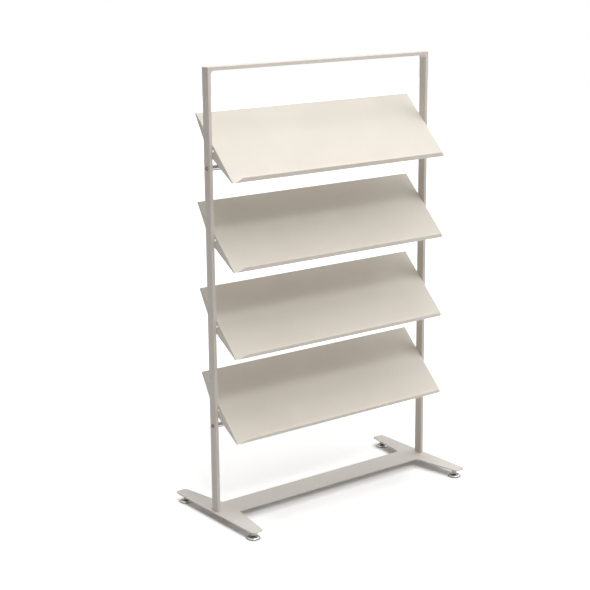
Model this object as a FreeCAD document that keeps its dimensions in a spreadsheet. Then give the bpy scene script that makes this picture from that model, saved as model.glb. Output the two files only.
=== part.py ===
import FreeCAD
import Part
import Sketcher
import math
import os

# Free-standing display stand: four folded sheet-steel sloping shelves in an inverted-U frame of flat tube,
# on an H-shaped sheet-steel base with four levelling feet.
# The frame: +X to the right, +Y to the back, +Z up, origin on the floor under the middle of the base.

doc = FreeCAD.newDocument("DisplayStand")
sheet = doc.addObject("Spreadsheet::Sheet", "Sizes")

# Driving dimensions, in millimetres and degrees
SIZES = {
    # frame of flat tube
    "frame_width": 1000,
    "frame_height": 1600,
    "tube_width": 12.5,
    "tube_depth": 35,
    "tube_wall": 1.5,
    "tube_edge": 1,
    "corner_inner_radius": 14,
    "corner_leg": 30,
    "spigot_length": 25,
    "insert_gap": 0.1,
    "upright_plug_height": 40,
    # base
    "floor_to_plate_top": 36,
    "base_overhang": 11,
    "base_depth": 500,
    "plate_thickness": 4,
    "foot_tip_width": 48,
    "foot_root_width": 80,
    "crossbar_depth": 110,
    "foot_tip_radius": 12,
    "throat_radius": 12,
    # levelling feet
    "leveller_from_side": 26,
    "leveller_from_tip": 33,
    "disc_diameter": 50,
    "disc_rim": 3,
    "disc_edge": 1,
    "hub_diameter": 20,
    "hub_rise": 5,
    "stud_diameter": 10,
    "stud_run_gap": 0.05,
    "stud_top_gap": 1.5,
    "boss_height": 21,
    "boss_diameter": 18,
    # bolts from below into the uprights
    "base_bolt_diameter": 6,
    "base_bolt_head": 10.5,
    "base_bolt_head_height": 3.3,
    "base_bolt_length": 25,
    "base_bolt_spacing": 18,
    "bolt_hole_play": 0.4,
    "thread_gap": 0.1,
    # stretchers
    "stretcher_diameter": 20,
    "stretcher_wall": 2,
    "stretcher_plug_length": 35,
    "stretcher_drop": 98,
    "stretcher_bolt_diameter": 8,
    "stretcher_bolt_length": 38,
    "stretcher_bolt_head": 14,
    "stretcher_bolt_head_height": 4.4,
    "stretcher_bolt_head_round": 3,
    "stretcher_bolt_socket": 5,
    "stretcher_bolt_socket_depth": 2.6,
    # sloping shelves
    "shelf_count": 4,
    "shelf_tilt": 45,
    "shelf_top_drop": 246.5,
    "shelf_pitch": 310,
    "shelf_rise_length": 117.5,
    "shelf_fall_length": 190.5,
    "shelf_thickness": 1.5,
    "shelf_bend_radius": 1.5,
    "lip_height": 26,
    "lip_inset": 13.5,
    "lip_chamfer": 20,
    "cheek_depth": 42,
    "cheek_tip_depth": 4,
    "cheek_apex_fall": 24,
    "cheek_apex_radius": 8,
    "sight_hole_fall": 40,
    "sight_hole_below": 13.5,
    "sight_hole_diameter": 8,
    # screws and threaded inserts that carry the shelves
    "screw_upper_drop": 20,
    "screw_lower_drop": 42,
    "screw_diameter": 5,
    "screw_length": 9,
    "screw_head": 9.5,
    "screw_head_height": 2.75,
    "insert_flange": 10,
    "insert_flange_thickness": 0.8,
    "insert_barrel": 7,
    "insert_barrel_length": 7.5,
}
for row, (alias, size) in enumerate(SIZES.items(), start=1):
    sheet.set(f"A{row}", alias)
    sheet.set(f"B{row}", str(size))
    sheet.setAlias(f"B{row}", alias)
doc.recompute()

# Heights and lengths that several pieces share, as expressions of the driving dimensions
PLATE_TOP = "Sizes.floor_to_plate_top"
PLATE_UNDER = "(Sizes.floor_to_plate_top - Sizes.plate_thickness)"
FRAME_TOP = "(Sizes.floor_to_plate_top + Sizes.frame_height)"
HALF_FRAME = "Sizes.frame_width / 2"
UPRIGHT_X = "(Sizes.frame_width / 2 - Sizes.tube_width / 2)"
INNER_X = "(Sizes.frame_width / 2 - Sizes.tube_width)"
CHEEK_X = "(Sizes.frame_width / 2 - Sizes.tube_width - Sizes.insert_flange_thickness)"
HALF_BASE = "(Sizes.frame_width / 2 + Sizes.base_overhang)"
LEVELLER_X = f"({HALF_BASE} - Sizes.leveller_from_side)"
LEVELLER_Y = "(Sizes.base_depth / 2 - Sizes.leveller_from_tip)"
BORE_WIDTH = "(Sizes.tube_width - 2 * Sizes.tube_wall - 2 * Sizes.insert_gap)"
BORE_DEPTH = "(Sizes.tube_depth - 2 * Sizes.tube_wall - 2 * Sizes.insert_gap)"


def value(text):
    """The number that an expression has now."""
    return float(sheet.evalExpression(text))


def new_body(label):
    body = doc.addObject("PartDesign::Body", label)
    body.Label = label
    return body


def new_sketch(body, name, role, lift=None):
    """A sketch on one of the body's own origin planes, lifted along the plane's normal if asked."""
    sketch = body.newObject("Sketcher::SketchObject", name)
    plane = [feature for feature in body.Origin.OriginFeatures if feature.Role == role][0]
    sketch.AttachmentSupport = [(plane, "")]
    sketch.MapMode = "FlatFace"
    if lift:
        sketch.setExpression("AttachmentOffset.Base.z", lift)
    return sketch


def drive(sketch, kind, *where, size):
    """A constraint whose size is an expression."""
    index = sketch.addConstraint(Sketcher.Constraint(kind, *where, value(size)))
    sketch.setExpression(f"Constraints[{index}]", size)


def draw_outline(sketch, corners):
    """A closed outline. A corner is (x, y) or, where a round stretch leads to it, (x, y, radius, turn)."""
    first = sketch.GeometryCount
    places = [FreeCAD.Vector(value(corner[0]), value(corner[1]), 0) for corner in corners]
    count = len(corners)
    ends = []
    for index in range(count):
        start, end = places[index - 1], places[index]
        if len(corners[index]) == 2:
            sketch.addGeometry(Part.LineSegment(start, end), False)
            ends.append((1, 2))
        else:
            radius, turn = value(corners[index][2]), corners[index][3]
            sketch.addGeometry(round_stretch(start, end, radius, turn), False)
            ends.append((1, 2) if turn == "left" else (2, 1))
    for index in range(count):
        nxt = (index + 1) % count
        sketch.addConstraint(Sketcher.Constraint(
            "Coincident", first + index, ends[index][1], first + nxt, ends[nxt][0]))
    for index in range(count):
        for kind, size in zip(("DistanceX", "DistanceY"), corners[index]):
            drive(sketch, kind, -1, 1, first + index, ends[index][1], size=size)
        if len(corners[index]) > 2:
            drive(sketch, "Radius", first + index, size=corners[index][2])


def round_stretch(start, end, radius, turn):
    """The short arc between two points that turns left or right on its way."""
    chord = end - start
    middle = (start + end) * 0.5
    side = FreeCAD.Vector(-chord.y, chord.x, 0).normalize()
    reach = math.sqrt(max(radius ** 2 - (chord.Length / 2) ** 2, 0))
    centre = middle + side * (reach if turn == "left" else -reach)
    circle = Part.Circle(centre, FreeCAD.Vector(0, 0, 1), radius)
    angles = [math.atan2(point.y - centre.y, point.x - centre.x) for point in (start, end)]
    if turn == "right":
        angles.reverse()
    return Part.ArcOfCircle(circle, angles[0], angles[1])


def draw_circle(sketch, x, y, diameter):
    centre = FreeCAD.Vector(value(x), value(y), 0)
    circle = Part.Circle(centre, FreeCAD.Vector(0, 0, 1), value(diameter) / 2)
    index = sketch.addGeometry(circle, False)
    drive(sketch, "DistanceX", -1, 1, index, 3, size=x)
    drive(sketch, "DistanceY", -1, 1, index, 3, size=y)
    drive(sketch, "Diameter", index, size=diameter)


def draw_rounded_box(sketch, width, depth, radius):
    """A rectangle about the sketch's origin with four rounded corners."""
    x, y = f"{width} / 2", f"{depth} / 2"
    draw_outline(sketch, [
        (f"-{x} + {radius}", f"-{y}", radius, "left"),
        (f"{x} - {radius}", f"-{y}"),
        (f"{x}", f"-{y} + {radius}", radius, "left"),
        (f"{x}", f"{y} - {radius}"),
        (f"{x} - {radius}", f"{y}", radius, "left"),
        (f"-{x} + {radius}", f"{y}"),
        (f"-{x}", f"{y} - {radius}", radius, "left"),
        (f"-{x}", f"-{y} + {radius}"),
    ])


def draw_box(sketch, left, right, low, high):
    draw_outline(sketch, [(left, low), (right, low), (right, high), (left, high)])


def draw_hexagon(sketch, x, y, across_flats):
    """A hexagon with two flats across the sketch's first direction."""
    half_flat, side = f"{across_flats} / 2", f"({across_flats} / sqrt(3))"
    draw_outline(sketch, [
        (f"{x} - {side} / 2", f"{y} - {half_flat}"),
        (f"{x} + {side} / 2", f"{y} - {half_flat}"),
        (f"{x} + {side}", y),
        (f"{x} + {side} / 2", f"{y} + {half_flat}"),
        (f"{x} - {side} / 2", f"{y} + {half_flat}"),
        (f"{x} - {side}", y),
    ])


def pad(body, sketch, length, middle=False, backwards=False):
    feature = body.newObject("PartDesign::Pad", sketch.Name + "Pad")
    feature.Profile = sketch
    feature.setExpression("Length", length)
    if middle:
        feature.SideType = "Symmetric"
    feature.Reversed = backwards
    return feature


def cut(body, sketch, length=None, middle=False, backwards=False):
    """A pocket: right through both ways when no depth is given."""
    feature = body.newObject("PartDesign::Pocket", sketch.Name + "Cut")
    feature.Profile = sketch
    if length:
        feature.setExpression("Length", length)
    else:
        feature.Type = "ThroughAll"
    if middle:
        feature.SideType = "Symmetric"
    feature.Reversed = backwards
    return feature


def revolve(body, sketch):
    """A full turn about the sketch's upright axis."""
    feature = body.newObject("PartDesign::Revolution", sketch.Name + "Turn")
    feature.Profile = sketch
    feature.ReferenceAxis = (sketch, ["V_Axis"])
    feature.Angle = 360
    return feature


def round_edges(body, feature, radius, wanted, name):
    """A fillet on the edges of a feature that a test picks."""
    doc.recompute()
    picked = [f"Edge{index}" for index, edge in enumerate(feature.Shape.Edges, start=1) if wanted(edge)]
    fillet = body.newObject("PartDesign::Fillet", name)
    fillet.Base = (feature, picked)
    fillet.setExpression("Radius", radius)
    return fillet


def edge_middle(edge):
    return edge.valueAt((edge.FirstParameter + edge.LastParameter) / 2)


def is_upright(edge):
    ends = [vertex.Point for vertex in edge.Vertexes]
    return len(ends) == 2 and math.hypot(ends[0].x - ends[1].x, ends[0].y - ends[1].y) < 0.01


def place(body, x="0", y="0", z="0"):
    for letter, size in zip("xyz", (x, y, z)):
        body.setExpression(f"Placement.Base.{letter}", size)


def half_turn(body):
    """Turn a piece half round the upright axis: the right-hand or rear one of a pair."""
    body.Placement = FreeCAD.Placement(
        body.Placement.Base, FreeCAD.Rotation(FreeCAD.Vector(0, 0, 1), 180))


parts = []

# Base

FOOT_TAPER = ("((Sizes.foot_root_width - Sizes.foot_tip_width)"
              " / (Sizes.base_depth / 2 - Sizes.crossbar_depth / 2))")


def inner_edge_x(y):
    """How far out the tapering inner edge of a foot lies at a distance y from the middle."""
    return f"({HALF_BASE} - Sizes.foot_tip_width - {FOOT_TAPER} * (Sizes.base_depth / 2 - {y}))"


def make_base_plate():
    """The H-shaped top sheet: a crossbar and two feet that taper to rounded tips."""
    body = new_body("base_plate")
    sketch = new_sketch(body, "PlateOutline", "XY_Plane")
    side, tip, root = HALF_BASE, "Sizes.base_depth / 2", "Sizes.crossbar_depth / 2"
    tip_x, root_x = inner_edge_x(tip), inner_edge_x(root)
    draw_outline(sketch, [
        (side, f"-{tip}"), (side, tip), (tip_x, tip), (root_x, root),
        (f"-{root_x}", root), (f"-{tip_x}", tip), (f"-{side}", tip), (f"-{side}", f"-{tip}"),
        (f"-{tip_x}", f"-{tip}"), (f"-{root_x}", f"-{root}"),
        (root_x, f"-{root}"), (tip_x, f"-{tip}"),
    ])
    sheet_metal = pad(body, sketch, "Sizes.plate_thickness")
    half_bar = value(root)
    tips = round_edges(
        body, sheet_metal, "Sizes.foot_tip_radius",
        lambda edge: is_upright(edge) and abs(edge_middle(edge).y) > half_bar + 1, "RoundTips")
    round_edges(
        body, tips, "Sizes.throat_radius",
        lambda edge: is_upright(edge) and abs(abs(edge_middle(edge).y) - half_bar) < 0.01, "RoundThroats")
    holes = new_sketch(body, "PlateBoltHoles", "XY_Plane")
    for x, y in bolt_places():
        draw_circle(holes, x, y, "Sizes.base_bolt_diameter + Sizes.bolt_hole_play")
    cut(body, holes, middle=True)
    place(body, z=PLATE_UNDER)
    parts.append(body)


def bolt_places():
    """The four bolts from below, two into each upright."""
    half = "Sizes.base_bolt_spacing / 2"
    return [(f"{x_sign}{UPRIGHT_X}", f"{y_sign}{half}") for x_sign in ("", "-") for y_sign in ("", "-")]


# Levelling feet

def leveller_places():
    """The four levelling feet: front left, front right, rear left and rear right."""
    return [
        (f"{x_sign}{LEVELLER_X}", f"{y_sign}{LEVELLER_Y}")
        for y_sign in ("-", "") for x_sign in ("-", "")
    ]


def make_leveller(label, x, y):
    """A turned disc with a raised hub and the stud that screws into the boss above."""
    body = new_body(label)
    profile = new_sketch(body, label + "_profile", "XZ_Plane")
    radius, hub, stud = "Sizes.disc_diameter / 2", "Sizes.hub_diameter / 2", "Sizes.stud_diameter / 2"
    hub_top = "(Sizes.disc_rim + Sizes.hub_rise)"
    draw_outline(profile, [
        ("0", "0"),
        (radius, "0"),
        (radius, "Sizes.disc_rim - Sizes.disc_edge"),
        (f"{radius} - Sizes.disc_edge", "Sizes.disc_rim"),
        (hub, f"{hub_top} - Sizes.disc_edge"),
        (f"{hub} - Sizes.disc_edge", hub_top),
        (stud, hub_top),
        (stud, f"{PLATE_UNDER} - Sizes.stud_top_gap"),
        ("0", f"{PLATE_UNDER} - Sizes.stud_top_gap"),
    ])
    revolve(body, profile)
    place(body, x, y)
    parts.append(body)


def make_leveller_bosses():
    """Threaded bosses under the four tips of the base plate."""
    body = new_body("leveller_bosses")
    sketch = new_sketch(body, "BossRings", "XY_Plane")
    for x, y in leveller_places():
        draw_circle(sketch, x, y, "Sizes.boss_diameter")
        draw_circle(sketch, x, y, "Sizes.stud_diameter + 2 * Sizes.stud_run_gap")
    pad(body, sketch, "Sizes.boss_height")
    place(body, z=f"{PLATE_UNDER} - Sizes.boss_height")
    parts.append(body)


# Frame

SHELF_HEIGHTS = [
    f"(Sizes.frame_height - Sizes.shelf_top_drop - {index} * Sizes.shelf_pitch)"
    for index in range(int(value("Sizes.shelf_count")))
]
STRETCHER_HEIGHTS = [
    f"({height} - Sizes.stretcher_drop)" for height in (SHELF_HEIGHTS[0], SHELF_HEIGHTS[-1])
]
SCREW_DROPS = ["Sizes.screw_upper_drop", "Sizes.screw_lower_drop"]


def draw_tube(sketch, width, depth):
    """A tube's two outlines, a wall apart."""
    draw_rounded_box(sketch, width, depth, "Sizes.tube_edge")
    inner_x = f"({width} - 2 * Sizes.tube_wall) / 2"
    inner_y = f"({depth} - 2 * Sizes.tube_wall) / 2"
    draw_box(sketch, f"-{inner_x}", inner_x, f"-{inner_y}", inner_y)


def make_upright(label, turned):
    """A flat tube from the base plate to the corner piece, its inner face towards +X before turning."""
    body = new_body(label)
    section = new_sketch(body, label + "_section", "XY_Plane")
    draw_tube(section, "Sizes.tube_width", "Sizes.tube_depth")
    pad(body, section, "Sizes.frame_height - Sizes.corner_leg")
    through = new_sketch(body, label + "_bolt_holes", "YZ_Plane")
    for height in STRETCHER_HEIGHTS:
        draw_circle(through, "0", height, "Sizes.stretcher_bolt_diameter + Sizes.bolt_hole_play")
    cut(body, through, middle=True)
    inner = new_sketch(body, label + "_insert_holes", "YZ_Plane")
    for height in SHELF_HEIGHTS:
        for drop in SCREW_DROPS:
            draw_circle(inner, "0", f"{height} - {drop}", "Sizes.insert_barrel + 2 * Sizes.thread_gap")
    cut(body, inner, backwards=True)
    place(body, f"-{UPRIGHT_X}" if not turned else UPRIGHT_X, "0", PLATE_TOP)
    if turned:
        half_turn(body)
    parts.append(body)


def make_top_bar():
    body = new_body("top_bar")
    section = new_sketch(body, "BarSection", "YZ_Plane")
    draw_tube(section, "Sizes.tube_depth", "Sizes.tube_width")
    pad(body, section, "Sizes.frame_width - 2 * Sizes.corner_leg", middle=True)
    place(body, z=f"{FRAME_TOP} - Sizes.tube_width / 2")
    parts.append(body)


def make_corner(label, turned):
    """A corner piece, sharp outside and rounded inside, with a spigot into each tube."""
    body = new_body(label)
    elbow = new_sketch(body, label + "_elbow", "XZ_Plane")
    bend = "(Sizes.tube_width + Sizes.corner_inner_radius)"
    draw_outline(elbow, [
        ("0", "0"),
        ("0", "-Sizes.corner_leg"),
        ("Sizes.tube_width", "-Sizes.corner_leg"),
        ("Sizes.tube_width", f"-{bend}"),
        (bend, "-Sizes.tube_width", "Sizes.corner_inner_radius", "right"),
        ("Sizes.corner_leg", "-Sizes.tube_width"),
        ("Sizes.corner_leg", "0"),
    ])
    block = pad(body, elbow, "Sizes.tube_depth", middle=True)
    leg = value("Sizes.corner_leg")
    side = value("Sizes.tube_depth") / 2
    round_edges(
        body, block, "Sizes.tube_edge",
        lambda edge: abs(abs(edge_middle(edge).y) - side) < 0.01
        and edge_middle(edge).x < leg - 0.01 and edge_middle(edge).z > 0.01 - leg, label + "_edges")
    spigots = new_sketch(body, label + "_spigots", "XZ_Plane")
    low = "(Sizes.tube_wall + Sizes.insert_gap)"
    high = "(Sizes.tube_width - Sizes.tube_wall - Sizes.insert_gap)"
    reach = "(Sizes.corner_leg + Sizes.spigot_length)"
    draw_outline(spigots, [
        (low, f"-{low}"), (low, f"-{reach}"), (high, f"-{reach}"),
        (high, f"-{high}"), (reach, f"-{high}"), (reach, f"-{low}"),
    ])
    pad(body, spigots, BORE_DEPTH, middle=True)
    place(body, f"-{HALF_FRAME}" if not turned else HALF_FRAME, "0", FRAME_TOP)
    if turned:
        half_turn(body)
    parts.append(body)


def make_upright_plugs():
    """Threaded blocks in the lower ends of the uprights."""
    body = new_body("upright_plugs")
    sketch = new_sketch(body, "PlugOutlines", "XY_Plane")
    for sign in ("", "-"):
        middle = f"{sign}{UPRIGHT_X}"
        draw_box(sketch, f"{middle} - {BORE_WIDTH} / 2", f"{middle} + {BORE_WIDTH} / 2",
                 f"-{BORE_DEPTH} / 2", f"{BORE_DEPTH} / 2")
    pad(body, sketch, "Sizes.upright_plug_height")
    holes = new_sketch(body, "PlugHoles", "XY_Plane")
    for x, y in bolt_places():
        draw_circle(holes, x, y, "Sizes.base_bolt_diameter + 2 * Sizes.thread_gap")
    cut(body, holes, middle=True)
    place(body, z=PLATE_TOP)
    parts.append(body)


def make_base_bolts():
    """Bolts from below, through the base plate into the plugs."""
    body = new_body("base_bolts")
    heads = new_sketch(body, "BaseBoltHeads", "XY_Plane")
    shanks = new_sketch(body, "BaseBoltShanks", "XY_Plane")
    for x, y in bolt_places():
        draw_circle(heads, x, y, "Sizes.base_bolt_head")
        draw_circle(shanks, x, y, "Sizes.base_bolt_diameter")
    pad(body, heads, "Sizes.base_bolt_head_height", backwards=True)
    pad(body, shanks, "Sizes.base_bolt_length")
    place(body, z=PLATE_UNDER)
    parts.append(body)


# Stretchers

def make_stretcher(label, height):
    """A round tube between the uprights."""
    body = new_body(label)
    section = new_sketch(body, label + "_section", "YZ_Plane")
    draw_circle(section, "0", height, "Sizes.stretcher_diameter")
    draw_circle(section, "0", height, "Sizes.stretcher_diameter - 2 * Sizes.stretcher_wall")
    pad(body, section, f"2 * {INNER_X}", middle=True)
    place(body, z=PLATE_TOP)
    parts.append(body)


def make_stretcher_plugs(label, height):
    """The threaded ends inside one stretcher."""
    body = new_body(label)
    outside = "(Sizes.stretcher_diameter - 2 * Sizes.stretcher_wall - 2 * Sizes.insert_gap)"
    for end, lift, backwards in (("left", f"-{INNER_X}", False), ("right", INNER_X, True)):
        ring = new_sketch(body, f"{label}_{end}", "YZ_Plane", lift)
        draw_circle(ring, "0", height, outside)
        draw_circle(ring, "0", height, "Sizes.stretcher_bolt_diameter + 2 * Sizes.thread_gap")
        pad(body, ring, "Sizes.stretcher_plug_length", backwards=backwards)
    place(body, z=PLATE_TOP)
    parts.append(body)


def make_stretcher_bolts(label, turned):
    """Button-head bolts through one upright into the ends of both stretchers."""
    body = new_body(label)
    face = f"-{HALF_FRAME}"
    heads = new_sketch(body, label + "_heads", "YZ_Plane", face)
    shanks = new_sketch(body, label + "_shanks", "YZ_Plane", face)
    sockets = new_sketch(body, label + "_sockets", "YZ_Plane", f"{face} - Sizes.stretcher_bolt_head_height")
    for height in STRETCHER_HEIGHTS:
        draw_circle(heads, "0", height, "Sizes.stretcher_bolt_head")
        draw_circle(shanks, "0", height, "Sizes.stretcher_bolt_diameter")
        draw_hexagon(sockets, "0", height, "Sizes.stretcher_bolt_socket")
    head = pad(body, heads, "Sizes.stretcher_bolt_head_height", backwards=True)
    outer = value(f"{face} - Sizes.stretcher_bolt_head_height")
    round_edges(body, head, "Sizes.stretcher_bolt_head_round",
                lambda edge: abs(edge_middle(edge).x - outer) < 0.01, label + "_dome")
    pad(body, shanks, "Sizes.stretcher_bolt_length")
    cut(body, sockets, "Sizes.stretcher_bolt_socket_depth", backwards=True)
    place(body, z=PLATE_TOP)
    if turned:
        half_turn(body)
    parts.append(body)


# Sloping shelves

BEND_OUTSIDE = "(Sizes.shelf_bend_radius + Sizes.shelf_thickness)"
PLATE_FRONT = f"(Sizes.shelf_fall_length - {BEND_OUTSIDE})"


def screw_places():
    """The screws of one shelf in its own sloping frame, on the middle line of the upright."""
    across, down = "sin(Sizes.shelf_tilt)", "cos(Sizes.shelf_tilt)"
    return [(f"-{drop} * {across}", f"-{drop} * {down}") for drop in SCREW_DROPS]


def place_on_slope(body, height):
    """The shelf's own frame: along the slope, its origin on the plate's top over the uprights' middle."""
    body.Placement = FreeCAD.Placement(FreeCAD.Vector(), FreeCAD.Rotation(FreeCAD.Vector(1, 0, 0), 1))
    body.setExpression("Placement.Rotation.Angle", "Sizes.shelf_tilt")
    place(body, z=f"{PLATE_TOP} + {height}")


def make_shelf(label, height):
    """One folded sheet: the sloping plate, an upturned front lip and a triangular cheek at each end."""
    body = new_body(label)
    side, wall, bend = CHEEK_X, "Sizes.shelf_thickness", BEND_OUTSIDE
    inside = "Sizes.shelf_bend_radius"
    section = new_sketch(body, label + "_section", "XZ_Plane", "-Sizes.shelf_rise_length")
    draw_outline(section, [
        (f"-{side}", f"-{bend}"),
        (f"-{side} + {bend}", "0", bend, "right"),
        (f"{side} - {bend}", "0"),
        (side, f"-{bend}", bend, "right"),
        (f"{side} - {wall}", f"-{bend}"),
        (f"{side} - {bend}", f"-{wall}", inside, "left"),
        (f"-{side} + {bend}", f"-{wall}"),
        (f"-{side} + {wall}", f"-{bend}", inside, "left"),
    ])
    pad(body, section, f"Sizes.shelf_rise_length + {PLATE_FRONT}")

    lip = new_sketch(body, label + "_lip", "YZ_Plane")
    front = "-Sizes.shelf_fall_length"
    draw_outline(lip, [
        (f"-{PLATE_FRONT}", f"-{wall}"),
        (front, inside, bend, "right"),
        (front, "Sizes.lip_height"),
        (f"{front} + {wall}", "Sizes.lip_height"),
        (f"{front} + {wall}", inside),
        (f"-{PLATE_FRONT}", "0", inside, "left"),
    ])
    lip_half = f"({side} - Sizes.lip_inset)"
    pad(body, lip, f"2 * {lip_half}", middle=True)

    chamfers = new_sketch(body, label + "_chamfers", "XZ_Plane")
    for sign in ("", "-"):
        draw_outline(chamfers, [
            (f"{sign}{lip_half}", inside),
            (f"{sign}{lip_half}", "Sizes.lip_height"),
            (f"{sign}({lip_half} - Sizes.lip_chamfer)", "Sizes.lip_height"),
        ])
    cut(body, chamfers, middle=True)

    last = None
    for end, lift, backwards in (("left", f"-{side}", False), ("right", side, True)):
        cheek = new_sketch(body, f"{label}_cheek_{end}", "YZ_Plane", lift)
        draw_outline(cheek, [
            (f"-{PLATE_FRONT}", f"-{bend}"),
            (f"-{PLATE_FRONT}", "-Sizes.cheek_tip_depth"),
            ("-Sizes.cheek_apex_fall", "-Sizes.cheek_depth"),
            ("Sizes.shelf_rise_length", "-Sizes.cheek_tip_depth"),
            ("Sizes.shelf_rise_length", f"-{bend}"),
        ])
        last = pad(body, cheek, wall, backwards=backwards)
    apex = value("-Sizes.cheek_apex_fall"), value("-Sizes.cheek_depth")
    round_edges(
        body, last, "Sizes.cheek_apex_radius",
        lambda edge: math.hypot(edge_middle(edge).y - apex[0], edge_middle(edge).z - apex[1]) < 0.01,
        label + "_apex")

    holes = new_sketch(body, label + "_holes", "YZ_Plane")
    for y, z in screw_places():
        draw_circle(holes, y, z, "Sizes.screw_diameter + Sizes.bolt_hole_play")
    draw_circle(holes, "-Sizes.sight_hole_fall", "-Sizes.sight_hole_below", "Sizes.sight_hole_diameter")
    cut(body, holes, middle=True)
    place_on_slope(body, height)
    parts.append(body)


def make_shelf_screws(label, height):
    """Screws from inside one shelf, through its cheeks into the threaded inserts."""
    body = new_body(label)
    face = f"({CHEEK_X} - Sizes.shelf_thickness)"
    for end, lift, inwards in (("left", f"-{face}", False), ("right", face, True)):
        heads = new_sketch(body, f"{label}_heads_{end}", "YZ_Plane", lift)
        shanks = new_sketch(body, f"{label}_shanks_{end}", "YZ_Plane", lift)
        for y, z in screw_places():
            draw_circle(heads, y, z, "Sizes.screw_head")
            draw_circle(shanks, y, z, "Sizes.screw_diameter")
        pad(body, heads, "Sizes.screw_head_height", backwards=inwards)
        pad(body, shanks, "Sizes.screw_length", backwards=not inwards)
    place_on_slope(body, height)
    parts.append(body)


def make_rivet_nuts(label, turned):
    """Threaded inserts in the inner face of one upright, their flanges between it and the cheeks."""
    body = new_body(label)
    flanges = new_sketch(body, label + "_flanges", "YZ_Plane", f"-{CHEEK_X}")
    barrels = new_sketch(body, label + "_barrels", "YZ_Plane", f"-{INNER_X}")
    bores = new_sketch(body, label + "_bores", "YZ_Plane", f"-{CHEEK_X}")
    for height in SHELF_HEIGHTS:
        for drop in SCREW_DROPS:
            draw_circle(flanges, "0", f"{height} - {drop}", "Sizes.insert_flange")
            draw_circle(barrels, "0", f"{height} - {drop}", "Sizes.insert_barrel")
            draw_circle(bores, "0", f"{height} - {drop}", "Sizes.screw_diameter + 2 * Sizes.thread_gap")
    pad(body, flanges, "Sizes.insert_flange_thickness", backwards=True)
    pad(body, barrels, "Sizes.insert_barrel_length", backwards=True)
    cut(body, bores, middle=True)
    place(body, z=PLATE_TOP)
    if turned:
        half_turn(body)
    parts.append(body)


make_base_plate()
LEVELLERS = ("leveller_front_left", "leveller_front_right", "leveller_rear_left", "leveller_rear_right")
for label, (x, y) in zip(LEVELLERS, leveller_places()):
    make_leveller(label, x, y)
make_leveller_bosses()
make_upright("upright_left", turned=False)
make_upright("upright_right", turned=True)
make_top_bar()
make_corner("corner_left", turned=False)
make_corner("corner_right", turned=True)
make_upright_plugs()
make_base_bolts()
for name, height in zip(("upper", "lower"), STRETCHER_HEIGHTS):
    make_stretcher(f"stretcher_{name}", height)
    make_stretcher_plugs(f"stretcher_plugs_{name}", height)
make_stretcher_bolts("stretcher_bolts_left", turned=False)
make_stretcher_bolts("stretcher_bolts_right", turned=True)
for number, height in enumerate(SHELF_HEIGHTS, start=1):
    make_shelf(f"shelf_{number}", height)
    make_shelf_screws(f"shelf_screws_{number}", height)
make_rivet_nuts("rivet_nuts_left", turned=False)
make_rivet_nuts("rivet_nuts_right", turned=True)

doc.recompute()
for item in doc.Objects:
    if "Invalid" in item.State or "Error" in item.State:
        raise RuntimeError(f"{item.Name} did not build: {item.State}")
os.makedirs("parts", exist_ok=True)
for body in parts:
    if body.Shape.isNull() or not body.Shape.isValid():
        raise RuntimeError(f"{body.Label} has no valid shape")
    body.Shape.exportStep(f"parts/{body.Label}.step")
    print(body.Label, len(body.Shape.Solids), round(body.Shape.Volume))
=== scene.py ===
import math

import bpy
from mathutils import Matrix, Vector


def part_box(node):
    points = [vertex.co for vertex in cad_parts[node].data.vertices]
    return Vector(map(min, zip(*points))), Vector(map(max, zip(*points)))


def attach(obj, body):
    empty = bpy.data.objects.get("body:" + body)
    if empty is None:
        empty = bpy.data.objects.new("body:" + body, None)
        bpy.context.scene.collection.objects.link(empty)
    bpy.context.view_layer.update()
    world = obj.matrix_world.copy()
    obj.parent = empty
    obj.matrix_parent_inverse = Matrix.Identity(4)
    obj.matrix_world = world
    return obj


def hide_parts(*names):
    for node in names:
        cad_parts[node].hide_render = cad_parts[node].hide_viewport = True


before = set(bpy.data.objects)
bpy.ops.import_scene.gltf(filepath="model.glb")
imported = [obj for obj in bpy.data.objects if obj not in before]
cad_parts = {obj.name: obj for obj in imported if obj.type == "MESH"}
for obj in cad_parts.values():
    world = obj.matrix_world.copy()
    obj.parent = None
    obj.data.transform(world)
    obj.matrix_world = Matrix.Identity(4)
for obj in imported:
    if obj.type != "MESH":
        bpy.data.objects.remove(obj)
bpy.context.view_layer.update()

# Colours of the real surfaces, as linear values, and of painted shade where the names say so
SHELF_CREAM = (0.830, 0.775, 0.690)
FRAME_CREAM = (0.770, 0.708, 0.644)
BASE_CREAM = (0.815, 0.775, 0.715)
RIM_PAINTED_SHADE = (0.200, 0.198, 0.194)
MIDDLE_PAINTED_SHADE = (0.230, 0.222, 0.208)
SATIN_STEEL = (0.560, 0.552, 0.540)
BRIGHT_STEEL = (0.680, 0.680, 0.680)
# The stretcher bolts' zinc, darkened as painted shade for the dark surroundings that their heads
# reflect
BOLT_ZINC_PAINTED_SHADE = (0.210, 0.205, 0.200)
PLAIN_STEEL = (0.400, 0.400, 0.405)

# Lengths of the looks, in metres
RUBBED_EDGE = 0.0005
DISC_SHADED_ROUGH_RIM = (0.0219, 0.0228)         # the radii between which the rim's painted shade and rougher finish set in
DISC_SHADED_MIDDLE = (0.0192, 0.0184)      # and those of the middle's painted shade and painted reflection, inwards

LEVELLERS = ("leveller_front_left", "leveller_front_right",
             "leveller_rear_left", "leveller_rear_right")
SHELF_NUMBERS = (1, 2, 3, 4)


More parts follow.
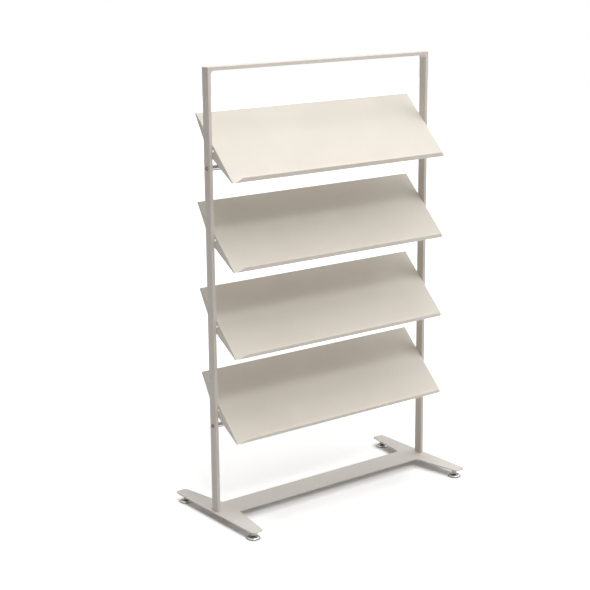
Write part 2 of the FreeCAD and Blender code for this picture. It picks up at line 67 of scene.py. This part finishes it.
class Nodes:
    """A short way to write a node tree."""

    UNIT = (0.0, 1.0)
    MIDDLE = (0.3, 0.7)     # the span that most of a noise texture's values lie in

    def __init__(self, tree):
        self.tree = tree

    def feed(self, socket, value):
        """Link a node's output to a socket, or set a plain value on it."""
        if isinstance(value, bpy.types.NodeSocket):
            self.tree.links.new(value, socket)
        else:
            socket.default_value = value

    def add(self, kind, inputs=None, **settings):
        node = self.tree.nodes.new(kind)
        for name, value in settings.items():
            setattr(node, name, value)
        for name, value in (inputs or {}).items():
            self.feed(node.inputs[name], value)
        return node

    def noise(self, vector, scale, detail=2.0, roughness=0.5):
        return self.add("ShaderNodeTexNoise", {
            "Vector": vector, "Scale": scale, "Detail": detail,
            "Roughness": roughness}).outputs["Fac"]

    def remap(self, value, span, onto=UNIT):
        """Move a value's span of low to high onto another span, and keep it inside."""
        return self.add("ShaderNodeMapRange", {
            "Value": value, "From Min": span[0], "From Max": span[1],
            "To Min": onto[0], "To Max": onto[1]}).outputs["Result"]

    def mix(self, factor, first, second):
        """Mix two colours, each a colour's three values or a node's output."""
        node = self.add("ShaderNodeMix", data_type="RGBA")
        for name, value in (("Factor", factor), ("A", first), ("B", second)):
            socket = [s for s in node.inputs if s.name == name and s.enabled][0]
            self.feed(socket, (*value, 1.0) if isinstance(value, tuple) else value)
        return [s for s in node.outputs if s.enabled][0]

    def math(self, operation, *values):
        node = self.add("ShaderNodeMath", operation=operation)
        for index, value in enumerate(values):
            self.feed(node.inputs[index], value)
        return node.outputs[0]

    def vector_math(self, operation, *values):
        node = self.add("ShaderNodeVectorMath", operation=operation)
        for index, value in enumerate(values):
            self.feed(node.inputs[index], value)
        return node

    def bump(self, height, distance, strength, below=None):
        inputs = {"Height": height, "Distance": distance, "Strength": strength}
        if below is not None:
            inputs["Normal"] = below
        return self.add("ShaderNodeBump", inputs).outputs["Normal"]

    def plainly_seen(self):
        """One for the camera and for reflections, zero for the light that a surface sheds."""
        rays = self.add("ShaderNodeLightPath").outputs
        return self.math("MAXIMUM", rays["Is Camera Ray"],
                         self.math("MAXIMUM", rays["Is Glossy Ray"],
                                   rays["Is Transmission Ray"]))


def shaded(colour, share):
    """A colour at a share of its brightness."""
    return tuple(share * part for part in colour)


def new_material(name):
    material = bpy.data.materials.new(name)
    material.use_nodes = True
    nodes = Nodes(material.node_tree)
    shader = material.node_tree.nodes["Principled BSDF"]
    place = nodes.add("ShaderNodeTexCoord").outputs["Object"]
    return material, nodes, shader.inputs, place


def powder_coat(name, colour):
    """Matt powder coat: an orange-peel skin, a faint unevenness of shade and rubbed edges."""
    material, nodes, shader, place = new_material(name)
    darker = shaded(colour, 0.93)
    broad = nodes.noise(place, scale=6.0, detail=3.0)
    speck = nodes.noise(place, scale=900.0)
    shade = nodes.mix(nodes.remap(broad, (0.35, 0.65), (0.0, 0.5)), colour, darker)
    shade = nodes.mix(nodes.remap(speck, (0.45, 0.75), (0.0, 0.12)), shade, darker)

    # An edge is where the rounded normal turns away from the flat one
    rounded = nodes.add("ShaderNodeBevel", {"Radius": RUBBED_EDGE}, samples=4).outputs["Normal"]
    flat = nodes.add("ShaderNodeNewGeometry").outputs["Normal"]
    likeness = nodes.vector_math("DOT_PRODUCT", rounded, flat).outputs["Value"]
    edge = nodes.remap(likeness, (0.97, 0.80))
    wear = nodes.remap(nodes.noise(place, scale=70.0, detail=3.0), (0.40, 0.65), (0.15, 1.0))
    rub = nodes.math("MULTIPLY", edge, wear)
    shade = nodes.mix(nodes.math("MULTIPLY", rub, 0.20), shade, shaded(colour, 0.75))
    nodes.feed(shader["Base Color"], shade)

    rough = nodes.remap(nodes.noise(place, scale=25.0, detail=4.0), Nodes.MIDDLE, (0.46, 0.60))
    polish = nodes.math("MULTIPLY", rub, 0.14)
    nodes.feed(shader["Roughness"], nodes.math("SUBTRACT", rough, polish))
    peel = nodes.noise(place, scale=260.0, roughness=0.6)
    grain = nodes.noise(place, scale=1400.0, detail=1.0)
    normal = nodes.bump(peel, distance=0.0002, strength=0.35, below=rounded)
    normal = nodes.bump(grain, distance=0.00008, strength=0.25, below=normal)
    nodes.feed(shader["Normal"], normal)
    shader["Specular IOR Level"].default_value = 0.35
    return material


def drawn_metal(name, colour, rough_span):
    """Satin metal drawn lengthways along X: fine lines along the tube and uneven polish."""
    material, nodes, shader, place = new_material(name)
    stretched = nodes.add("ShaderNodeMapping", {
        "Vector": place, "Scale": (4.0, 900.0, 900.0)}).outputs["Vector"]
    lines = nodes.noise(stretched, scale=1.0, detail=3.0)
    patches = nodes.noise(place, scale=30.0)
    darkness = nodes.remap(lines, Nodes.MIDDLE, (0.0, 0.35))
    nodes.feed(shader["Base Color"], nodes.mix(darkness, colour, shaded(colour, 0.8)))
    rough = nodes.math("ADD", nodes.remap(lines, Nodes.MIDDLE, rough_span),
                       nodes.remap(patches, Nodes.MIDDLE, (-0.03, 0.03)))
    nodes.feed(shader["Roughness"], rough)
    nodes.feed(shader["Normal"], nodes.bump(lines, distance=0.00005, strength=0.4))
    shader["Metallic"].default_value = 1.0
    return material


def turned_metal(name, colour, centre, rough_span):
    """A disc turned about an upright axis: fine rings, a bright shoulder, a rougher rim, painted
    shade on the rim, and painted shade and reflection in the middle.
    """
    material, nodes, shader, place = new_material(name)
    moved = nodes.vector_math("SUBTRACT", place, centre).outputs["Vector"]
    split = nodes.add("ShaderNodeSeparateXYZ", {"Vector": moved}).outputs
    squares = [nodes.math("POWER", nodes.math("ABSOLUTE", split[axis]), 2.0) for axis in "XY"]
    radius = nodes.math("SQRT", nodes.math("ADD", *squares))
    outline = nodes.add("ShaderNodeCombineXYZ", {"X": radius, "Y": split["Z"]}).outputs[0]
    rings = nodes.noise(outline, scale=2600.0)
    stain = nodes.noise(place, scale=120.0, detail=3.0)
    rim_shade_and_roughness = nodes.remap(radius, DISC_SHADED_ROUGH_RIM)
    middle_shade = nodes.remap(radius, DISC_SHADED_MIDDLE)
    shade = nodes.mix(nodes.remap(stain, (0.4, 0.7), (0.0, 0.3)), colour, shaded(colour, 0.78))
    # Painted shade and painted reflection: the middle is darkened for the plate's shadow and its
    # dark underside above it
    shade = nodes.mix(nodes.math("MULTIPLY", middle_shade, 0.90), shade, MIDDLE_PAINTED_SHADE)
    # Painted shade: the rim is darkened for the shaded outline round the disc's edge
    shade = nodes.mix(nodes.math("MULTIPLY", rim_shade_and_roughness, 0.92), shade, RIM_PAINTED_SHADE)
    nodes.feed(shader["Base Color"], shade)
    rough = nodes.remap(rings, Nodes.MIDDLE, rough_span)
    rough = nodes.math("ADD", rough, nodes.math("MULTIPLY", rim_shade_and_roughness, 0.22))
    nodes.feed(shader["Roughness"], rough)
    nodes.feed(shader["Normal"], nodes.bump(rings, distance=0.00004, strength=0.5))
    shader["Metallic"].default_value = 1.0
    return material


def plated_metal(name, colour, rough_span):
    """Zinc-plated or plain steel with a mottled finish."""
    material, nodes, shader, place = new_material(name)
    mottle = nodes.noise(place, scale=300.0, detail=3.0)
    darkness = nodes.remap(mottle, (0.35, 0.7), (0.0, 0.5))
    nodes.feed(shader["Base Color"], nodes.mix(darkness, colour, shaded(colour, 0.75)))
    grain = nodes.noise(place, scale=800.0)
    nodes.feed(shader["Roughness"], nodes.remap(grain, Nodes.MIDDLE, rough_span))
    nodes.feed(shader["Normal"], nodes.bump(mottle, distance=0.00005, strength=0.3))
    shader["Metallic"].default_value = 1.0
    return material


shelf_coat = powder_coat("shelf_powder_coat", SHELF_CREAM)
frame_coat = powder_coat("frame_powder_coat", FRAME_CREAM)
base_coat = powder_coat("base_powder_coat", BASE_CREAM)
satin = drawn_metal("satin_tube", SATIN_STEEL, (0.14, 0.24))
zinc = plated_metal("zinc_plate", BRIGHT_STEEL, (0.30, 0.45))
# Rough zinc for the stretcher bolts; its dark colour is painted shade
rough_zinc_with_painted_shade = plated_metal("rough_zinc_with_painted_shade", BOLT_ZINC_PAINTED_SHADE, (0.50, 0.62))
plain = plated_metal("plain_steel", PLAIN_STEEL, (0.40, 0.55))

# The CAD nodes that show as they are
for material, names in (
        (shelf_coat, [f"shelf_{number}" for number in SHELF_NUMBERS]),
        (frame_coat, ["upright_left", "upright_right", "top_bar", "corner_left",
                      "corner_right"]),
        (base_coat, ["base_plate", "leveller_bosses"]),
        (satin, ["stretcher_upper", "stretcher_lower"]),
        (rough_zinc_with_painted_shade, ["stretcher_bolts_left", "stretcher_bolts_right"]),
        (plain, ["upright_plugs", "stretcher_plugs_upper", "stretcher_plugs_lower",
                 "rivet_nuts_left", "rivet_nuts_right"])):
    for name in names:
        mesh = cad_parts[name].data
        mesh.materials.clear()
        mesh.materials.append(material)

# Turned pieces: rings of points round an axis, in millimetres, joined by faces
SEGMENTS = 72
MM = 0.001
SHARP = math.radians(35)    # an edge that turns by more is shaded as an edge


def ring(radius, height, hexagon=False, outline=None):
    """One ring. A hexagon's radius is to its flats. outline gives it by angle and height."""
    points = []
    for step in range(SEGMENTS):
        angle = 2 * math.pi * step / SEGMENTS
        reach = radius
        if hexagon:
            reach = radius / math.cos((angle % (math.pi / 3)) - math.pi / 6)
        if outline:
            reach = outline(angle, height)
        points.append((reach * math.cos(angle), reach * math.sin(angle), height))
    return points


def turned_mesh(name, rings, places, body, material, loop=False):
    """A mesh of one turned piece at several places, each a matrix, with flat ends or looped."""
    vertices, faces = [], []
    for place in places:
        first = len(vertices)
        last = first + (len(rings) - 1) * SEGMENTS
        for points in rings:
            vertices.extend(place @ (MM * Vector(point)) for point in points)
        for row in range(len(rings) if loop else len(rings) - 1):
            a, b = first + row * SEGMENTS, first + (row + 1) % len(rings) * SEGMENTS
            for step in range(SEGMENTS):
                after = (step + 1) % SEGMENTS
                faces.append((a + step, a + after, b + after, b + step))
        if not loop:
            faces.append(tuple(first + step for step in reversed(range(SEGMENTS))))
            faces.append(tuple(last + step for step in range(SEGMENTS)))
    mesh = bpy.data.meshes.new(name)
    mesh.from_pydata(vertices, [], faces)
    mesh.validate()
    mesh.shade_smooth()
    mesh.set_sharp_from_angle(angle=SHARP)
    mesh.materials.append(material)
    piece = bpy.data.objects.new(name, mesh)
    bpy.context.scene.collection.objects.link(piece)
    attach(piece, body)
    return piece


# A leveller: a disc with a bright shoulder, and a stud with a helical thread
THREAD_PITCH, THREAD_DEPTH, STUD_RADIUS = 1.5, 0.8, 5.0
STUD_BOTTOM, STUD_TOP = 8.0, 30.5
THREAD_ROOT, THREAD_FLANKS = 0.12, 0.64     # shares of half a pitch
RUN_IN, RUN_OUT, TIP_CHAMFER = 0.5, 1.2, 0.8
ROW_HEIGHT = 0.15
FOOT_PROFILE = (
    (23.2, 0.0), (24.4, 0.25), (25.0, 0.9), (25.0, 1.9), (24.8, 2.4), (24.3, 2.7), (23.7, 2.8),
    (23.1, 2.9), (22.7, 3.2), (22.2, 3.8), (21.4, 4.8), (20.6, 5.8), (20.1, 6.35), (19.5, 6.8),
    (18.8, 7.1), (17.5, 7.3), (14.0, 7.6), (11.0, 7.85), (9.4, 8.0), (5.6, 8.0))


def thread_radius(angle, height):
    """The stud's radius: a helical groove that fades out at both ends, and a chamfered tip."""
    phase = (height / THREAD_PITCH - angle / (2 * math.pi)) % 1.0
    groove = min(max((abs(phase - 0.5) * 2 - THREAD_ROOT) / THREAD_FLANKS, 0.0), 1.0)
    fade = min((height - STUD_BOTTOM) / RUN_IN, (STUD_TOP - height) / RUN_OUT, 1.0)
    tip = 1.0 - min((STUD_TOP - height) / TIP_CHAMFER, 1.0)
    return STUD_RADIUS - THREAD_DEPTH * max(groove * max(fade, 0.0), tip)


foot_rings = [ring(radius, height) for radius, height in FOOT_PROFILE]
rows = round((STUD_TOP - STUD_BOTTOM) / ROW_HEIGHT)
foot_rings += [ring(0, STUD_BOTTOM + (STUD_TOP - STUD_BOTTOM) * row / rows,
                    outline=thread_radius) for row in range(rows + 1)]


def leveller_axis(node, height):
    """The point at a height on a leveller's upright axis."""
    low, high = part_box(node)
    return Vector(((low[0] + high[0]) / 2, (low[1] + high[1]) / 2, height))


for node in LEVELLERS:
    centre = leveller_axis(node, 0.0)
    metal = turned_metal("bright_" + node, SATIN_STEEL, tuple(centre), (0.30, 0.44))
    foot = turned_mesh(node + "_turned", foot_rings, [Matrix.Translation(centre)],
                       node, metal)
    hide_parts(node)


def button_rings(head, height, socket, socket_depth, shank, length):
    """A button-head screw: a shank below zero and a domed head with a hexagon socket above."""
    chamfer, fillet_width, fillet_height, edge = 0.5, 0.15, 0.2, 0.5
    lead_in_width, lead_in_depth, drill_cone = 0.22, 0.2, 0.3
    dome_steps = 9
    radius, top = head / 2, socket * 0.72
    rings = [ring(shank / 2 - chamfer, -length), ring(shank / 2, -length + chamfer),
             ring(shank / 2, -fillet_height), ring(shank / 2 + fillet_width, 0.0),
             ring(radius - edge / 2, 0.0), ring(radius, edge / 2), ring(radius, edge)]
    for step in range(1, dome_steps):
        turn = math.pi / 2 * step / dome_steps
        rings.append(ring(top + (radius - top) * math.cos(turn),
                          edge + (height - edge) * math.sin(turn)))
    rings += [ring(top, height), ring(socket / 2 + lead_in_width, height, hexagon=True),
              ring(socket / 2, height - lead_in_depth, hexagon=True),
              ring(socket / 2, height - socket_depth, hexagon=True),
              ring(socket / 4, height - socket_depth - drill_cone)]
    return rings


# Screws through the cheeks into the uprights, and bolts from below through the base plate.
# Places are in metres. A shelf's height is taken from the base plate's top to where the
# shelf's upper face crosses the uprights' middle, and its screws' drops from there.
PLATE_TOP, PLATE_UNDER = 0.036, 0.032
SCREW_FACE, UPRIGHT_MIDDLE = 0.4852, 0.49375
TOP_SHELF_HEIGHT, SHELF_PITCH = 1.3535, 0.310
SCREW_DROPS = (0.020, 0.042)
BOLT_OFFSETS = (-0.009, 0.009)
screw_rings = button_rings(head=9.5, height=2.75, socket=3.0, socket_depth=1.6, shank=5.0,
                           length=9.0)
bolt_rings = button_rings(head=10.5, height=3.3, socket=4.0, socket_depth=2.0, shank=6.0,
                          length=25.0)
inwards = Matrix.Rotation(math.pi / 2, 4, "Y")
for number in SHELF_NUMBERS:
    node = f"shelf_screws_{number}"
    shelf_height = PLATE_TOP + TOP_SHELF_HEIGHT - SHELF_PITCH * (number - 1)
    places = []
    for drop in SCREW_DROPS:
        for face, turn in ((-SCREW_FACE, inwards), (SCREW_FACE, inwards.inverted())):
            places.append(Matrix.Translation((face, 0, shelf_height - drop)) @ turn)
    screws = turned_mesh(node + "_button_heads", screw_rings, places, "stand", zinc)
    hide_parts(node)
downwards = Matrix.Rotation(math.pi, 4, "X")
places = [Matrix.Translation((x, y, PLATE_UNDER)) @ downwards
          for x in (-UPRIGHT_MIDDLE, UPRIGHT_MIDDLE) for y in BOLT_OFFSETS]
bolts = turned_mesh("base_bolts_button_heads", bolt_rings, places, "stand", zinc)
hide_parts("base_bolts")

# Weld beads round the bosses, under the base plate: how far out, how high and how rippled
BOSS_RADIUS = 9.0
RIPPLE, RIPPLES = 0.12, 22
BEAD_PROFILE = (
    (-0.4, 0.3, 0.0), (-0.4, -2.5, 0.0), (0.3, -2.3, 0.5), (0.9, -1.8, 1.0), (1.7, -1.1, 1.0),
    (2.3, -0.3, 1.0), (2.5, 0.3, 0.0))


def bead_radius(spread, ripple):
    """A weld bead's rippled outline, one ring of it."""
    return lambda angle, height: (BOSS_RADIUS + spread
                                  + RIPPLE * ripple * math.sin(RIPPLES * angle))


bead_rings = [ring(0, height, outline=bead_radius(spread, ripple))
              for spread, height, ripple in BEAD_PROFILE]
places = [Matrix.Translation(leveller_axis(node, PLATE_UNDER)) for node in LEVELLERS]
turned_mesh("boss_weld_beads", bead_rings, places, "stand", base_coat, loop=True)

# Floor, which keeps the shadow and shows white to the camera and in reflections
FLOOR_REACH = 12.0
FLOOR_BOUNCE = 0.725    # for the light that it sheds on the stand
FLOOR_WHITE = 1.34      # for what is seen of it, full white where no shadow falls


def make_floor():
    mesh = bpy.data.meshes.new("floor")
    corners = [(x * FLOOR_REACH, y * FLOOR_REACH, 0)
               for x, y in ((-1, -1), (1, -1), (1, 1), (-1, 1))]
    mesh.from_pydata(corners, [], [(0, 1, 2, 3)])
    material = bpy.data.materials.new("floor_white")
    material.use_nodes = True
    tree = material.node_tree
    tree.nodes.clear()
    nodes = Nodes(tree)
    blend = nodes.add("ShaderNodeMixShader", {"Fac": nodes.plainly_seen()})
    for index, white in ((1, FLOOR_BOUNCE), (2, FLOOR_WHITE)):
        diffuse = nodes.add("ShaderNodeBsdfDiffuse", {"Color": (white, white, white, 1.0)})
        tree.links.new(diffuse.outputs[0], blend.inputs[index])
    output = nodes.add("ShaderNodeOutputMaterial")
    tree.links.new(blend.outputs[0], output.inputs["Surface"])
    mesh.materials.append(material)
    floor = bpy.data.objects.new("floor", mesh)
    bpy.context.scene.collection.objects.link(floor)
    return floor


floor = make_floor()

# World: white to the camera and in reflections, black to the object, which the lamps light
world = bpy.data.worlds.new("studio")
bpy.context.scene.world = world
world.use_nodes = True
world.node_tree.nodes.clear()
sky = Nodes(world.node_tree)
bright = sky.add("ShaderNodeBackground", {
    "Color": (1, 1, 1, 1), "Strength": sky.plainly_seen()})
output = sky.add("ShaderNodeOutputWorld")
world.node_tree.links.new(bright.outputs[0], output.inputs["Surface"])

# Lamps, some for the floor's shadow alone and the others for the stand
LAMP_DISTANCE = 4.0


def add_lamp(name, kind, energy, place, target):
    data = bpy.data.lights.new(name, kind)
    data.energy = energy
    lamp = bpy.data.objects.new(name, data)
    bpy.context.scene.collection.objects.link(lamp)
    lamp.location = place
    direction = Vector(target) - lamp.location
    lamp.rotation_euler = direction.to_track_quat("-Z", "Y").to_euler()
    return lamp


def soft_light(name, tilt, heading, spread, strength):
    """A distant lamp, tilt degrees off overhead towards heading: 0 is the front, 90 the right."""
    angle, turn = math.radians(tilt), math.radians(heading)
    place = Vector((math.sin(angle) * math.sin(turn), -math.sin(angle) * math.cos(turn),
                    math.cos(angle)))
    lamp = add_lamp(name, "SUN", strength, LAMP_DISTANCE * place, (0, 0, 0))
    lamp.data.angle = math.radians(spread)
    return lamp


def area_light(name, place, target, size, power):
    """A square lamp, nearer to the top shelf than to the base."""
    lamp = add_lamp(name, "AREA", power, place, target)
    lamp.data.size = size
    return lamp


def light_linked(lamps, state):
    """Lamps for the floor alone, with state INCLUDE, or for all but it, with state EXCLUDE."""
    group = bpy.data.collections.new("floor_" + state.lower())
    group.objects.link(floor)
    group.collection_objects[0].light_linking.link_state = state
    for lamp in lamps:
        lamp.light_linking.receiver_collection = group


light_linked([
    soft_light("floor_above", tilt=0, heading=0, spread=60, strength=2.10),
    soft_light("floor_straight_down", tilt=0, heading=0, spread=15, strength=0.18),
    soft_light("floor_key", tilt=46, heading=-17, spread=9, strength=0.64),
    soft_light("floor_front", tilt=60, heading=0, spread=60, strength=0.74),
    soft_light("floor_right", tilt=45, heading=90, spread=60, strength=0.12),
], "INCLUDE")
light_linked([
    soft_light("above", tilt=0, heading=0, spread=30, strength=0.39),
    soft_light("above_wide", tilt=0, heading=0, spread=100, strength=1.04),
    soft_light("key", tilt=38, heading=0, spread=9, strength=0.40),
    soft_light("front", tilt=45, heading=0, spread=30, strength=0.22),
    soft_light("right", tilt=45, heading=90, spread=60, strength=0.67),
    soft_light("low_right", tilt=70, heading=60, spread=60, strength=0.60),
    area_light("upper", place=(0, -0.6, 3.2), target=(0, 0, 1.3), size=1.2, power=12.0),
], "EXCLUDE")

# Camera at the photograph's viewing angle
CAMERA_PLACE = (-3.2040, -4.0647, 2.0584)
HEADING, PITCH, ROLL = math.radians(37.13), math.radians(14.01), math.radians(-0.498)
camera_data = bpy.data.cameras.new("camera")
camera_data.sensor_width = 36.0
camera_data.lens = 87.54
camera = bpy.data.objects.new("camera", camera_data)
bpy.context.scene.collection.objects.link(camera)
camera.matrix_world = (Matrix.Translation(CAMERA_PLACE) @ Matrix.Rotation(-HEADING, 4, "Z")
                       @ Matrix.Rotation(math.pi / 2 - PITCH, 4, "X")
                       @ Matrix.Rotation(ROLL, 4, "Z"))
bpy.context.scene.camera = camera
bpy.context.scene.view_settings.view_transform = "Standard"
